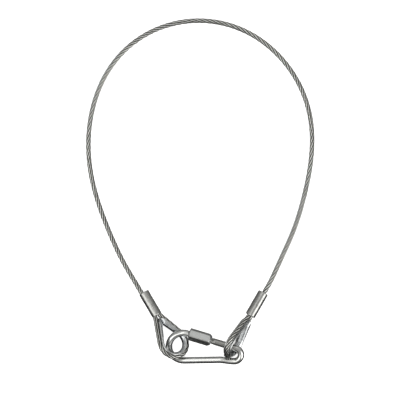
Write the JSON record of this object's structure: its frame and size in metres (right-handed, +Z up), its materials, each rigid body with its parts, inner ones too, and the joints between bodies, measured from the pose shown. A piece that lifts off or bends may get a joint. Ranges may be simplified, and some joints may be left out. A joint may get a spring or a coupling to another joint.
{
  "type": "wire rope tether",
  "caption": "Short steel wire-rope tether: a rope loop with thimble eyes and pressed ferrules, joined by a pear-shaped wire link with a hexagonal sleeve nut.",
  "frame": {"origin": "middle of the tether's outline on the surface it lies on", "axes": "+Z up from the surface, +Y from the link towards the far end of the rope loop, +X to the right seen from above, from the link's bow towards its bulb"},
  "size_m": [0.1394, 0.2111, 0.0195],
  "materials": {
    "wire_rope": "galvanised steel wires, satin",
    "thimble_steel": "zinc-plated sheet, semi-bright",
    "ferrule_alloy": "pressed aluminium, semi-bright",
    "link_steel": "bright zinc plate",
    "nut_steel": "bright zinc plate"
  },
  "bodies": {
    "tether": {"rope_free_span": "wire_rope", "rope_left_eye": "wire_rope", "rope_right_eye": "wire_rope", "left_thimble": "thimble_steel", "right_thimble": "thimble_steel", "left_ferrule": "ferrule_alloy", "right_ferrule": "ferrule_alloy"},
    "link": {"link_body": "link_steel"},
    "nut": {"sleeve_nut": "nut_steel"}
  },
  "joints": [
    {"name": "link_swing", "type": "hinge", "parent": "tether", "child": "link", "pos_m": [-0.01119, -0.08606, 0.00802], "axis": [0.9621, -0.2717, -0.0224], "range_deg": [-8, 22]},
    {"name": "nut_travel", "type": "slide", "parent": "link", "child": "nut", "axis": [0.9559, -0.2921, -0.0302], "range_m": [0, 0.0087]}
  ]
}
